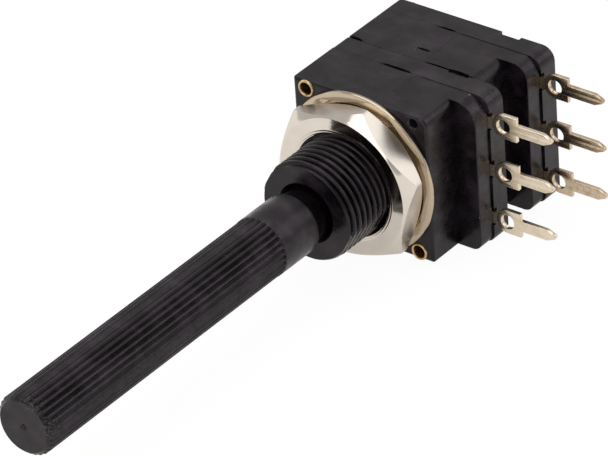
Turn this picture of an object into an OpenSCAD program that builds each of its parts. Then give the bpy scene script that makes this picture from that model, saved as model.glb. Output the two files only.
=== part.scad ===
// Two-gang rotary potentiometer with a splined shaft and a threaded panel bush.
// The origin is on the shaft axis at the panel face of the body. The shaft points
// to -Y, the body lies behind at +Y and the terminals stick out to +X.

/* [Body] */
// Width of the square block of a gang, left to right
block_w = 14.8; // [14:0.1:18]
// Height of the block of a gang
block_h = 15; // [15:0.1:18]
// Radius of the long edges of the block
block_corner_r = 0.6; // [0.2:0.1:1]
// Radius of the front edges of a housing
face_edge_r = 0.4; // [0.1:0.1:0.6]
// Depth of the front housing, from the panel face to its seam
housing_depth = 6; // [6:0.1:9]
// Distance from the front seam to the rear seam
gang_pitch = 8.05; // [8:0.05:12]
// Thickness of a base plate
plate_t = 2.2; // [1.8:0.1:2.4]
// Thickness of the plastic left behind the track board
plate_floor_t = 0.7; // [0.3:0.1:0.7]
// Depth of the rotor pocket in a housing
pocket_depth = 4.4; // [4.2:0.1:4.6]
// Radius of the rotor pocket
pocket_r = 6.4; // [6.2:0.1:6.5]

/* [Terminal side] */
// How far a housing flange reaches past the shaft axis
flange_reach = 9.7; // [9:0.1:12]
// Thickness of a housing flange
flange_t = 1.8; // [1:0.1:2.5]
// Radius of the upper corner of a flange
flange_corner_r = 2.2; // [0.5:0.1:3]
// How far a base plate reaches past the shaft axis
plate_reach = 9.9; // [9.2:0.1:12.5]
// Radius of the upper corner of a base plate
plate_corner_r = 1.3; // [0.5:0.1:3]
// Chamfer of the lower corner of flanges and plates
foot_chamfer = 0.9; // [0.2:0.1:2]

/* [Marks of the mould] */
// Depth of the step in the top of a housing
step_drop = 0.12; // [0.05:0.01:0.3]
// Where the step in the front housing starts, from the shaft axis
front_step_x = 2; // [-4:0.1:5]
// Where the step in the rear housing starts, from the shaft axis
rear_step_x = 1; // [-4:0.1:5]
// Width of the notch in the top rear edge of a base plate
notch_w = 2.2; // [0.5:0.1:3]
// Depth of that notch, down and forward
notch_d = 0.5; // [0.2:0.1:1]
// Middle of that notch, from the shaft axis
notch_x = 5.2; // [-4:0.1:6]

/* [Panel bush] */
// Radius of the bush over its thread
bush_r = 4.92; // [4.9:0.01:5.1]
// Length of the bush in front of the panel face
bush_l = 8.55; // [5:0.05:12]
// Length of the plain tapered lead at the bush's end
bush_lead = 0.5; // [0.2:0.1:1]
// Radius of the bush's end face
bush_tip_r = 4.7; // [4.4:0.01:4.8]
// Pitch of the thread on the bush
thread_pitch = 0.76; // [0.6:0.02:1]
// Depth of the thread, on the radius
thread_d = 0.42; // [0.2:0.02:0.5]
// Radius of the flared mouth of the bore
mouth_r = 3.46; // [3:0.02:4]

/* [Shaft] */
// Radius of the shaft outside the bush
shaft_r = 3; // [2.9:0.05:3.1]
// Length of the shaft in front of the panel face
shaft_l = 48; // [20:0.5:60]
// Where the splines end, in front of the panel face
spline_end = 15.3; // [12:0.1:19]
// Number of splines
spline_count = 30; // [12:1:40]
// How far the crests of the splines lie inside the full shaft
crest_drop = 0.03; // [0.02:0.01:0.1]
// Depth of the grooves between splines
spline_depth = 0.26; // [0.1:0.02:0.4]
// Share of the pitch that the crest of a spline takes
spline_crest = 0.32; // [0.1:0.02:0.8]
// Turn of the spline pattern about the axis
spline_turn = 8; // [0:0.5:30]
// Chamfer round the tip of the shaft
tip_chamfer = 0.45; // [0.2:0.05:0.8]
// Radius of the dimple in the tip
dimple_r = 0.35; // [0.1:0.05:1]
// Where the full shaft steps down to its neck, in front of the panel face
neck_start = 10.5; // [9:0.1:11.5]
// Radius of the neck that turns in the bush
neck_r = 2.6; // [2.5:0.05:2.9]
// Running clearance of the neck in the bush, on the radius
neck_clear = 0.05; // [0.03:0.01:0.1]
// Radius of the thrust collar behind the bush
collar_r = 4; // [3.4:0.1:4.6]
// Thickness of the thrust collar
collar_t = 0.75; // [0.4:0.05:0.8]
// Radius of the drive end over its rounded sides
drive_r = 2.4; // [2.2:0.05:2.5]
// Distance from the axis to each drive flat
drive_flat = 1.8; // [1.4:0.05:2]
// Clearance of the drive end in what it only passes through, on the radius
pass_clear = 0.25; // [0.15:0.05:0.3]

/* [Rotor and wiper] */
// Radius of a rotor disc
rotor_r = 5.7; // [5.4:0.05:5.8]
// Thickness of a rotor disc
rotor_t = 1.45; // [1.2:0.05:1.5]
// Radius of a rotor hub
hub_r = 3.1; // [2.9:0.05:3.2]
// Play between moving faces along the axis
axial_play = 0.06; // [0.04:0.01:0.1]
// Half the angle that the stop lug of a rotor takes
lug_half = 13; // [8:1:13]
// Half the angle that the stop post of a housing takes
post_half = 16; // [8:1:16]
// Distance from the tip of the stop lug to the pocket wall
lug_clear = 0.2; // [0.1:0.05:0.3]
// Distance from the stop post to the rotor disc
post_clear = 0.15; // [0.1:0.05:0.2]
// Thickness of the wiper spring
spring_t = 0.25; // [0.15:0.05:0.3]
// Width of a wiper arm
arm_w = 0.8; // [0.5:0.1:0.9]
// Length of a wiper arm from its root to its contact
arm_l = 2.4; // [2:0.1:2.6]
// Length of the upturned tip past the contact
arm_tip = 0.5; // [0.3:0.1:0.7]
// Half the length of the windows in the wiper that the arms bend out of
window_half = 1.9; // [1.7:0.1:2]
// Clearance between an arm and the sides of its window
window_clear = 0.08; // [0.04:0.01:0.1]
// Radius of the pegs that hold the wiper
peg_r = 0.35; // [0.2:0.05:0.4]
// Angle of the pegs on each side of the arms
peg_angle = 38; // [35:1:42]
// Gap left between a wiper contact and what it slides on
contact_gap = 0.05; // [0.04:0.01:0.08]

/* [Track board] */
// Thickness of the board
board_t = 1; // [0.8:0.1:1.1]
// Radius of the round side of the board
board_r = 6.75; // [6.7:0.05:6.8]
// Distance from the axis to the straight side of the board
board_side = 7.2; // [7:0.1:8]
// Distance from the axis to the upper and lower sides of the board
board_half_h = 6.3; // [6.1:0.1:6.4]
// Middle radius of the carbon track
track_r = 5.2; // [5:0.05:5.3]
// Width of the carbon track
track_w = 1.1; // [0.9:0.1:1.2]
// Half the angle of the gap in the track
track_gap_half = 28; // [20:1:32]
// Thickness of the printed carbon
track_t = 0.08; // [0.05:0.01:0.1]

/* [Terminals] */
// Distance between neighbouring terminals
terminal_pitch = 5; // [4.6:0.1:5]
// Thickness of the terminal sheet
sheet_t = 0.45; // [0.3:0.05:0.5]
// Width of the solder eye
eye_w = 2.45; // [2.2:0.05:2.6]
// Radius of the hole in the solder eye
eye_hole_r = 0.8; // [0.5:0.05:0.9]
// Distance from the axis to the middle of the hole
eye_x = 11.4; // [11.4:0.1:13.6]
// Length of the square part of the eye, from the middle of the hole
eye_l = 1.4; // [1:0.1:2]
// Width of the pin
pin_w = 1.1; // [0.8:0.05:1.3]
// Distance from the axis to the point of the pin
pin_end = 16.6; // [15.5:0.1:20]
// Length of the pointed end of the pin
point_l = 0.9; // [0.3:0.1:1.5]
// Width of the leg inside the body
leg_w = 1.2; // [0.8:0.1:1.2]
// Middle radius of the collector ring
collector_r = 3.75; // [3.7:0.05:3.8]
// Width of the collector ring
collector_w = 0.8; // [0.6:0.05:0.85]
// Radius of the crimp that holds a terminal to the board
crimp_r = 0.42; // [0.3:0.02:0.5]
// Distance from the axis to the crimps of the outer terminals
crimp_x = 5; // [4.6:0.1:5]

/* [Hardware] */
// Distance from the axis to a rivet, sideways
rivet_x = 5.9; // [5.85:0.05:6]
// Distance from the axis to a rivet, up or down
rivet_z = 6.7; // [6.65:0.05:6.75]
// Outer radius of the rivet tube
rivet_r = 0.6; // [0.54:0.02:0.64]
// Inner radius of the rivet tube
rivet_hole_r = 0.46; // [0.3:0.02:0.5]
// Radius of the rolled rim of a rivet
rivet_rim_r = 0.86; // [0.8:0.01:0.88]
// Thickness of the washer
washer_t = 0.5; // [0.3:0.05:1]
// Width of the washer's ring, from its hole to its outer edge
washer_ring_w = 3.05; // [2.5:0.05:3.1]
// Distance across the flats of the nut
nut_flats = 14; // [13:0.1:15.5]
// Thickness of the nut
nut_t = 2.75; // [1.5:0.05:3]
// Turn of the nut about the axis
nut_turn = 14.5; // [0:0.5:60]
// Radius of the countersink in the front of the nut
nut_sink_r = 5.5; // [5.2:0.1:6.4]
// Depth of that countersink
nut_sink_d = 0.5; // [0.3:0.1:1.3]
// How far the round edge of the nut's face lies inside its flats
nut_face_inset = 0.15; // [0.05:0.05:0.4]
// Slope of the chamfer at the corners of the nut
nut_slope = 38; // [15:1:40]
// Clearance of the washer and the nut on the bush, on the radius
thread_clear = 0.03; // [0.02:0.01:0.1]
// Clearance where fixed pieces fit into each other
fit_clear = 0.04; // [0.02:0.01:0.06]

/* [Hidden] */
$fn = 64;

// Small overlap that keeps cuts clean
cut = 0.1;
// Seams lie between a housing and its base plate
front_seam = housing_depth;
rear_seam = front_seam + gang_pitch;
rear_face = front_seam + plate_t;
back_face = rear_seam + plate_t;
// Depths inside a gang, from its seam
board_face = sheet_t;
plate_recess = plate_t - plate_floor_t;
board_back = board_face + board_t;
hub_back = board_face - axial_play;
rotor_front = -pocket_depth + collar_t;
rotor_back = rotor_front + rotor_t;
bore_r = neck_r + neck_clear;
drive_hole_r = drive_r + pass_clear;
hull_steps = 3;
round_fn = 32;
// Half the width of a thread groove at its mouth and at its root, as shares of the pitch
groove_share = 0.4;
root_share = 0.08;
nut_front = -washer_t - nut_t;
nut_corner_r = nut_flats / 2 / cos(180 / 6);

// An outline seen from the front, x right and z up, filled from depth y0 back to depth y1
module slab(y0, y1) {
    translate([0, y1, 0]) rotate([90, 0, 0]) linear_extrude(y1 - y0) children();
}

// A round bar on the shaft axis
module bar(r, y0, y1) {
    slab(y0, y1) circle(r);
}

// A cone on the shaft axis, radius r0 at depth y0 and r1 at depth y1
module taper(r0, r1, y0, y1) {
    translate([0, y0, 0]) rotate([-90, 0, 0]) cylinder(h = y1 - y0, r1 = r0, r2 = r1);
}

// A profile of radius and depth, turned about the shaft axis
module turned() {
    rotate([-90, 0, 0]) rotate_extrude() children();
}

module rounded_square(w, h, r) {
    square([w - 2 * r, h], center = true);
    square([w, h - 2 * r], center = true);
    for (sx = [-1, 1], sz = [-1, 1])
        translate([sx * (w / 2 - r), sz * (h / 2 - r)]) circle(r, $fn = round_fn);
}

// A wedge of a disc from angle a - half to a + half
module sector(r, a, half) {
    reach = r / cos(half);
    intersection() {
        circle(r);
        polygon([[0, 0], reach * [cos(a - half), sin(a - half)], reach * [cos(a + half), sin(a + half)]]);
    }
}

module ring(r_in, r_out) {
    difference() {
        circle(r_out);
        circle(r_in);
    }
}

module block_outline(inset = 0) {
    rounded_square(block_w - 2 * inset, block_h - 2 * inset, block_corner_r);
}

// The block with the lobe that carries the terminals
module lobe_outline(reach, corner_r) {
    top = block_h / 2;
    block_outline();
    polygon([
        [0, -top], [reach - foot_chamfer, -top], [reach, -top + foot_chamfer],
        [reach, top - corner_r], [reach - corner_r, top], [0, top]
    ]);
    translate([reach - corner_r, top - corner_r]) circle(corner_r);
}

module rivet_places() {
    for (s = [-1, 1]) translate([s * rivet_x, -s * rivet_z]) children();
}

// Housings

// A housing without its bush: block, flange, rotor pocket and stop post
module gang_housing(face, seam, step_x) {
    floor_y = seam - pocket_depth;
    difference() {
        union() {
            hull() {
                for (k = [0 : hull_steps]) {
                    a = 90 * k / hull_steps;
                    slab(face + face_edge_r * (1 - sin(a)), seam)
                        block_outline(face_edge_r * (1 - cos(a)));
                }
            }
            slab(seam - flange_t, seam) lobe_outline(flange_reach, flange_corner_r);
            spigot(seam);
        }
        bar(pocket_r, floor_y, seam + plate_t);
        slab(face - cut, seam + cut) rivet_places() circle(rivet_r + fit_clear);
        spare_holes(face);
        translate([step_x, face - cut, block_h / 2 - step_drop])
            cube([flange_reach, seam - face + 2 * cut, 1]);
    }
    stop_post(floor_y, seam + rotor_back);
}

// The rim that enters the base plate and presses the board home
module spigot(seam) {
    slab(seam - cut, seam + board_face) intersection() {
        circle(board_r);
        translate([-2 * board_r + crimp_x - 2, -board_r]) square(2 * board_r);
    }
}

module stop_post(y0, y1) {
    slab(y0, y1) difference() {
        sector(pocket_r + cut, 0, post_half);
        circle(rotor_r + post_clear);
    }
}

// Blind holes in the two corners that no rivet uses
module spare_holes(face) {
    slab(face - cut, face + 1)
        for (s = [-1, 1]) translate([s * rivet_x, s * rivet_z]) circle(rivet_hole_r);
}

// The thread as level grooves, from the lead of the bush to the front of the nut
module thread_grooves() {
    mouth = thread_pitch * groove_share;
    root = thread_pitch * root_share;
    first = bush_lead - bush_l + mouth;
    last = floor((nut_front - mouth - first) / thread_pitch);
    turned() for (k = [0 : last]) translate([0, first + k * thread_pitch]) polygon([
        [bush_r + cut, -mouth], [bush_r, -mouth], [bush_r - thread_d, -root],
        [bush_r - thread_d, root], [bush_r, mouth], [bush_r + cut, mouth]
    ]);
}

module front_housing() {
    color([0.13, 0.12, 0.13]) difference() {
        union() {
            gang_housing(0, front_seam, front_step_x);
            bar(bush_r, bush_lead - bush_l, face_edge_r);
            taper(bush_tip_r, bush_r, -bush_l, bush_lead - bush_l);
        }
        thread_grooves();
        bar(bore_r, -bush_l - cut, front_seam);
        taper(mouth_r, bore_r, -bush_l, -bush_l + mouth_r - bore_r);
    }
}

module rear_housing() {
    boss_back = rear_seam + rotor_front - axial_play;
    color([0.13, 0.12, 0.13]) difference() {
        union() {
            gang_housing(rear_face, rear_seam, rear_step_x);
            bar(collar_r, rear_seam - pocket_depth - cut, boss_back);
        }
        bar(drive_hole_r, rear_face - cut, rear_seam);
    }
}

// Rotors and wipers

module drive_outline(grow) {
    intersection() {
        circle(drive_r + grow);
        square([2 * (drive_r + 1), 2 * (drive_flat + grow)], center = true);
    }
}

// Pegs that hold the wiper, one on each side of the arms
module wiper_pegs(r) {
    for (s = [-1, 1]) rotate(180 + s * peg_angle) translate([(hub_r + rotor_r) / 2, 0]) circle(r);
}

module gang_rotor(seam) {
    lug_r = pocket_r - lug_clear;
    peg_top = seam + rotor_back + 2 * spring_t;
    color([0.85, 0.83, 0.78]) {
        difference() {
            union() {
                bar(rotor_r, seam + rotor_front, seam + rotor_back);
                bar(hub_r, seam + rotor_front, seam + hub_back);
                slab(seam + rotor_front, seam + rotor_back) sector(lug_r, 180, lug_half);
                slab(seam + rotor_back - cut, peg_top) wiper_pegs(peg_r);
            }
            slab(seam + rotor_front - cut, seam + hub_back + cut) drive_outline(fit_clear);
        }
    }
}

// One bent arm: it rises from the spring's base at y0 to touch what lies at y1
module wiper_arm(r, y0, y1) {
    bend = 2 * spring_t - arm_l;
    translate([-r + arm_w / 2, 0, 0]) rotate([0, -90, 0]) linear_extrude(arm_w) polygon([
        [-arm_l, y0], [bend, y0], [0, y1 - spring_t], [arm_tip, y1 - 2 * spring_t],
        [arm_tip, y1 - spring_t], [0, y1], [bend - spring_t, y0 + spring_t], [-arm_l, y0 + spring_t]
    ]);
}

module gang_wiper(seam) {
    base = seam + rotor_back;
    color([0.80, 0.62, 0.34]) {
        slab(base, base + spring_t) difference() {
            intersection() {
                ring(hub_r + fit_clear, rotor_r - fit_clear);
                sector(rotor_r, 180, peg_angle + 14);
            }
            for (r = [collector_r, track_r]) translate([-r, 0])
                square([arm_w + 2 * window_clear, 2 * window_half], center = true);
            wiper_pegs(peg_r + fit_clear);
        }
        wiper_arm(collector_r, base, seam - contact_gap);
        wiper_arm(track_r, base, seam + board_face - track_t - contact_gap);
    }
}

module front_rotor() { gang_rotor(front_seam); }
module rear_rotor() { gang_rotor(rear_seam); }
module front_wiper() { gang_wiper(front_seam); }
module rear_wiper() { gang_wiper(rear_seam); }

// Track boards

module board_outline(grow = 0) {
    difference() {
        union() {
            circle(board_r + grow);
            translate([0, -board_half_h - grow])
                square([board_side + grow, 2 * (board_half_h + grow)]);
        }
        translate([rivet_x, -rivet_z]) circle(rivet_r + 0.4 - grow);
    }
}

module crimp_places() {
    for (s = [-1, 1]) translate([crimp_x, s * terminal_pitch]) children();
    translate([track_r + 0.6, 0]) children();
}

module gang_track_board(seam) {
    pad_w = 2 * leg_w;
    color([0.52, 0.33, 0.16]) slab(seam + board_face, seam + board_back) difference() {
        board_outline();
        circle(drive_hole_r);
        crimp_places() circle(crimp_r + fit_clear);
    }
    color([0.08, 0.08, 0.08]) slab(seam + board_face - track_t, seam + board_face + track_t) difference() {
        union() {
            difference() {
                ring(track_r - track_w / 2, track_r + track_w / 2);
                sector(pocket_r + cut, 0, track_gap_half);
            }
            for (s = [-1, 1]) intersection() {
                translate([crimp_x - pad_w / 2, s * terminal_pitch - pad_w / 2]) square(pad_w);
                circle(pocket_r - fit_clear);
            }
        }
        for (s = [-1, 1]) translate([crimp_x - leg_w, s * terminal_pitch - leg_w / 2 - fit_clear])
            square([3 * leg_w, leg_w + 2 * fit_clear]);
    }
}

module front_track_board() { gang_track_board(front_seam); }
module rear_track_board() { gang_track_board(rear_seam); }

// Terminals

// The eye and the pin of a terminal, along +x from the body
module tail_outline() {
    difference() {
        union() {
            translate([eye_x, 0]) circle(eye_w / 2);
            translate([eye_x, -eye_w / 2]) square([eye_l, eye_w]);
            translate([eye_x, -pin_w / 2]) square([pin_end - point_l - eye_x, pin_w]);
            polygon([
                [pin_end - point_l, -pin_w / 2], [pin_end, -pin_w / 8],
                [pin_end, pin_w / 8], [pin_end - point_l, pin_w / 2]
            ]);
        }
        translate([eye_x, 0]) circle(eye_hole_r);
    }
}

module outer_terminal(seam, side) {
    color([0.82, 0.76, 0.62]) {
        slab(seam, seam + sheet_t) translate([0, side * terminal_pitch]) {
            translate([crimp_x, -leg_w / 2]) square([eye_x - eye_hole_r - crimp_x - 0.1, leg_w]);
            translate([crimp_x, 0]) circle(leg_w / 2);
            tail_outline();
        }
        slab(seam + sheet_t - cut, seam + board_back) translate([crimp_x, side * terminal_pitch])
            circle(crimp_r);
    }
}

// The middle terminal is stamped in one piece with the collector ring
module middle_terminal(seam) {
    ring_out = collector_r + collector_w / 2;
    color([0.82, 0.76, 0.62]) {
        slab(seam, seam + sheet_t) {
            ring(collector_r - collector_w / 2, ring_out);
            translate([ring_out - collector_w / 2, -leg_w / 2])
                square([eye_x - eye_hole_r - ring_out + collector_w / 2 - 0.1, leg_w]);
            tail_outline();
        }
        slab(seam + sheet_t - cut, seam + board_back) translate([track_r + 0.6, 0]) circle(crimp_r);
    }
}

module front_terminal_upper() { outer_terminal(front_seam, 1); }
module front_terminal_middle() { middle_terminal(front_seam); }
module front_terminal_lower() { outer_terminal(front_seam, -1); }
module rear_terminal_upper() { outer_terminal(rear_seam, 1); }
module rear_terminal_middle() { middle_terminal(rear_seam); }
module rear_terminal_lower() { outer_terminal(rear_seam, -1); }

// Base plates

// Slots in which the terminals leave the body
module terminal_slots() {
    for (k = [-1 : 1]) {
        translate([board_side - 1, k * terminal_pitch - leg_w / 2 - fit_clear])
            square([plate_reach, leg_w + 2 * fit_clear]);
        translate([flange_reach - 0.6, k * terminal_pitch - eye_w / 2 - fit_clear])
            square([plate_reach, eye_w + 2 * fit_clear]);
    }
}

module gang_base_plate(seam) {
    back = seam + plate_t;
    difference() {
        slab(seam, back) lobe_outline(plate_reach, plate_corner_r);
        slab(seam - cut, seam + plate_recess) board_outline(fit_clear);
        slab(seam - cut, seam + sheet_t + fit_clear / 2) terminal_slots();
        slab(seam - cut, back + cut) rivet_places() circle(rivet_r + fit_clear);
        translate([notch_x - notch_w / 2, back - notch_d, block_h / 2 - notch_d])
            cube([notch_w, 1, 1]);
    }
}

module front_base_plate() {
    color([0.15, 0.14, 0.15]) difference() {
        gang_base_plate(front_seam);
        bar(drive_hole_r, front_seam, rear_face + cut);
    }
}

module rear_base_plate() {
    color([0.15, 0.14, 0.15]) gang_base_plate(rear_seam);
}

// Hardware

// A tubular rivet through both gangs, its two ends rolled over
module eyelet(x, z) {
    rim = rivet_rim_r - rivet_hole_r;
    color([0.80, 0.64, 0.34]) translate([x, 0, z]) turned() {
        translate([rivet_hole_r, -rim / 4]) square([rivet_r - rivet_hole_r, back_face + rim / 2]);
        for (end = [-1, 1]) intersection() {
            translate([rivet_hole_r + rim / 2, end > 0 ? back_face : 0]) circle(rim / 2, $fn = round_fn);
            translate([rivet_hole_r, end > 0 ? back_face : -rim]) square(rim);
        }
    }
}

module upper_rivet() { eyelet(-rivet_x, rivet_z); }
module lower_rivet() { eyelet(rivet_x, -rivet_z); }

module washer() {
    edge = washer_t / 4;
    r_in = bush_r + thread_clear;
    r_out = r_in + washer_ring_w;
    color([0.78, 0.74, 0.68]) turned() polygon([
        [r_in, -washer_t + edge], [r_in + edge, -washer_t], [r_out - edge, -washer_t],
        [r_out, -washer_t + edge], [r_out, -edge], [r_out - edge, 0], [r_in, 0]
    ]);
}

module hex_nut() {
    front_r = nut_flats / 2 - nut_face_inset;
    back_r = (front_r + nut_corner_r) / 2;
    widening = nut_t / tan(nut_slope);
    r_in = bush_r + thread_clear;
    color([0.80, 0.76, 0.70]) difference() {
        intersection() {
            slab(nut_front, -washer_t) rotate(nut_turn) circle(nut_corner_r, $fn = 6);
            taper(front_r, front_r + widening, nut_front, -washer_t);
            taper(back_r + widening, back_r, nut_front, -washer_t);
        }
        bar(r_in, nut_front - cut, -washer_t + cut);
        taper(nut_sink_r, r_in, nut_front, nut_front + nut_sink_d);
    }
}

// Shaft

// A spline outline: flat crests with a V groove between neighbours
module spline_outline() {
    pitch = 360 / spline_count;
    crest = pitch * spline_crest / 2;
    crest_r = shaft_r - crest_drop;
    root_r = crest_r - spline_depth;
    polygon([
        for (k = [0 : spline_count - 1], p = [[crest_r, -crest], [crest_r, crest], [root_r, pitch / 2]])
            let (a = spline_turn + k * pitch + p[1]) p[0] * [cos(a), sin(a)]
    ]);
}

module shaft() {
    collar_y = front_seam - pocket_depth + axial_play;
    color([0.16, 0.15, 0.16]) {
        slab(tip_chamfer - shaft_l, -spline_end) spline_outline();
        difference() {
            translate([0, tip_chamfer - shaft_l, 0]) rotate([90, 0, 0])
                linear_extrude(tip_chamfer, scale = 1 - tip_chamfer / shaft_r) spline_outline();
            taper(2 * dimple_r, dimple_r / 4, -shaft_l - dimple_r, -shaft_l + dimple_r / 2);
        }
        bar(shaft_r, -spline_end, -neck_start);
        bar(neck_r, -neck_start, collar_y);
        bar(collar_r, collar_y, front_seam + rotor_front);
        slab(front_seam + rotor_front, rear_seam + hub_back) drive_outline(0);
    }
}

front_housing();
front_rotor();
front_wiper();
front_track_board();
front_terminal_upper();
front_terminal_middle();
front_terminal_lower();
front_base_plate();
rear_housing();
rear_rotor();
rear_wiper();
rear_track_board();
rear_terminal_upper();
rear_terminal_middle();
rear_terminal_lower();
rear_base_plate();
upper_rivet();
lower_rivet();
washer();
hex_nut();
shaft();
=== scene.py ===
from math import atan2, cos, pi, radians, sin, tan

import bmesh
import bpy
from mathutils import Matrix, Vector
from mathutils.geometry import tessellate_polygon


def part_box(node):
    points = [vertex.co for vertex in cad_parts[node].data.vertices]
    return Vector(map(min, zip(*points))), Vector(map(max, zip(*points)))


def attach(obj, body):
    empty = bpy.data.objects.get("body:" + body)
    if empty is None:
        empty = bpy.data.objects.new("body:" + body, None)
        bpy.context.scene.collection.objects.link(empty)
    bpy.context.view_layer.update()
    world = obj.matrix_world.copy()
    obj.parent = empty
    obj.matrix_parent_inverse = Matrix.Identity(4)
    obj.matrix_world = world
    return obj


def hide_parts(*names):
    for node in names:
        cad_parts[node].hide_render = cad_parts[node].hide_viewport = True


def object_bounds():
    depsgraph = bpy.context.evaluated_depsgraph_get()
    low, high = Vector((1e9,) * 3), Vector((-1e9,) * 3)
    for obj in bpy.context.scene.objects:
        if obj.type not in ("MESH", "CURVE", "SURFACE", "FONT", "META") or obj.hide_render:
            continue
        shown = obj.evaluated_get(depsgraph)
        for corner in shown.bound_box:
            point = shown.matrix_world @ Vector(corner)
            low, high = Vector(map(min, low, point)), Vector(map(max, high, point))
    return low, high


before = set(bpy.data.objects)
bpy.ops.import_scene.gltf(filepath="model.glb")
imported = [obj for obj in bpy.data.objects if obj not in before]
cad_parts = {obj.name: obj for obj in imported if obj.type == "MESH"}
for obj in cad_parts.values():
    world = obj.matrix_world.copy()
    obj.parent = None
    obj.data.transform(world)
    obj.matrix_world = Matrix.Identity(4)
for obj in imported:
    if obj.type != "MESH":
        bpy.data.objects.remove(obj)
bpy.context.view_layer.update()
mm = 0.001


def boxOf(node):
    low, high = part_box(node)
    return low / mm, high / mm


# Depths and reaches of both gangs, in millimetres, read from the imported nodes
gangs = []
for gangName in ("front", "rear"):
    plateLow, plateHigh = boxOf(gangName + "_base_plate")
    gangs.append({"name": gangName, "seam": plateLow.y, "back": plateHigh.y, "reach": plateHigh.x,
                  "flangeReach": boxOf(gangName + "_housing")[1].x})
gangs[0]["face"] = 0.0
gangs[1]["face"] = gangs[0]["back"]
halfWidth = -boxOf("front_housing")[0].x
halfHeight = boxOf("front_housing")[1].z
rivetSpot = (5.9, 6.7)
terminalPitch = 5.0
past = 1.0  # cutters reach this far past what they cut
hair = 0.01  # the least step between faces that would otherwise lie flush
print("frame loaded:", len(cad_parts), "nodes")


# Mesh making, all in millimetres

def makeObject(name, points, faces):
    mesh = bpy.data.meshes.new(name)
    mesh.from_pydata([(x * mm, y * mm, z * mm) for x, y, z in points], [], [tuple(f) for f in faces])
    obj = bpy.data.objects.new(name, mesh)
    bpy.context.scene.collection.objects.link(obj)
    bm = bmesh.new()
    bm.from_mesh(mesh)
    bmesh.ops.remove_doubles(bm, verts=bm.verts, dist=0.0005 * mm)
    bmesh.ops.recalc_face_normals(bm, faces=bm.faces)
    bm.to_mesh(mesh)
    bm.free()
    return obj


# Quads between neighbouring rings of points; a loop joins the last ring to the first
def skin(name, rings, loop=False):
    count = len(rings[0])
    faces = []
    for i in range(len(rings) if loop else len(rings) - 1):
        a = i * count
        b = (i + 1) % len(rings) * count
        faces += [(a + k, a + (k + 1) % count, b + (k + 1) % count, b + k) for k in range(count)]
    if not loop:
        last = (len(rings) - 1) * count
        faces += [range(count), range(last + count - 1, last - 1, -1)]
    return makeObject(name, [p for ring in rings for p in ring], faces)


def circleRing(radius, y, steps=96, centre=(0, 0)):
    turns = [2 * pi * k / steps for k in range(steps)]
    return [(centre[0] + radius * cos(t), y, centre[1] + radius * sin(t)) for t in turns]


# A ring with its own radius at each angle
def shapedRing(radii, turns, y):
    return [(r * cos(t), y, r * sin(t)) for r, t in zip(radii, turns)]


# A profile of (radius, depth) pairs, turned about an axis along y
def turned(name, profile, steps=96, centre=(0, 0), loop=False):
    return skin(name, [circleRing(r, y, steps, centre) for r, y in profile], loop)


# A convex outline of (x, z, corner radius), anticlockwise, drawn inwards by inset
def roundedOutline(corners, inset=0.0, steps=6):
    points = []
    for i, (x, z, r) in enumerate(corners):
        back = (Vector(corners[i - 1][:2]) - Vector((x, z))).normalized()
        ahead = (Vector(corners[(i + 1) % len(corners)][:2]) - Vector((x, z))).normalized()
        half = back.angle(ahead) / 2
        radius = max(r - inset, 0.002)
        centre = Vector((x, z)) + (back + ahead).normalized() * ((radius + inset) / sin(half))
        middle = atan2(-(back + ahead).y, -(back + ahead).x)
        sweep = pi - 2 * half
        for k in range(steps + 1):
            a = middle + sweep * (k / steps - 0.5)
            points.append((centre.x + radius * cos(a), centre.y + radius * sin(a)))
    return points


# A convex outline filled from depth y0 to y1, with its front and rear edges rounded over
def slab(name, corners, y0, y1, frontRound=0.0, rearRound=0.0, steps=4):
    layers = []
    for k in range(steps + 1 if frontRound else 1):
        a = pi / 2 * k / steps
        layers.append((y0 + frontRound * (1 - cos(a)), frontRound * (1 - sin(a))))
    for k in range(steps + 1 if rearRound else 1):
        a = pi / 2 * k / steps
        layers.append((y1 - rearRound * (1 - sin(a)), rearRound * (1 - cos(a))))
    return skin(name, [[(x, y, z) for x, z in roundedOutline(corners, inset)] for y, inset in layers])


def rectangle(x0, x1, z0, z1, r=0.0):
    return [(x0, z0, r), (x1, z0, r), (x1, z1, r), (x0, z1, r)]


def arc(x, z, r, start, end, steps):
    turns = [radians(start + (end - start) * k / steps) for k in range(steps + 1)]
    return [(x + r * cos(t), z + r * sin(t)) for t in turns]


# Every point of an anticlockwise outline moved outwards
def grown(outline, d):
    points = []
    for i, p in enumerate(outline):
        a = Vector(p) - Vector(outline[i - 1])
        b = Vector(outline[(i + 1) % len(outline)]) - Vector(p)
        na = Vector((a.y, -a.x)).normalized()
        nb = Vector((b.y, -b.x)).normalized()
        shift = (na + nb) / max(1 + na.dot(nb), 0.2)
        points.append((p[0] + shift.x * d, p[1] + shift.y * d))
    return points


# Sheet with any outline and holes, its edges broken as a press tool leaves them
def stamped(name, outline, holes, y0, y1, edge=0.05):
    layers = [(y0, edge), (y0 + 0.3 * edge, 0.3 * edge), (y0 + edge, 0),
              (y1 - edge, 0), (y1 - 0.3 * edge, 0.3 * edge), (y1, edge)]
    points, faces, ends = [], [], ([], [])
    for outlineNow, side in [(outline, -1)] + [(hole, 1) for hole in holes]:
        count = len(outlineNow)
        base = len(points)
        for y, inset in layers:
            points += [(x, y, z) for x, z in grown(outlineNow, side * inset)]
        for i in range(len(layers) - 1):
            a = base + i * count
            faces += [(a + k, a + (k + 1) % count, a + count + (k + 1) % count, a + count + k)
                      for k in range(count)]
        ends[0].append(range(base, base + count))
        ends[1].append(range(base + (len(layers) - 1) * count, base + len(layers) * count))
    for loops in ends:
        flat = [i for loop in loops for i in loop]
        shapes = [[Vector((points[i][0], points[i][2], 0)) for i in loop] for loop in loops]
        faces += [tuple(flat[i] for i in face) for face in tessellate_polygon(shapes)]
    return makeObject(name, points, faces)


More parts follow.
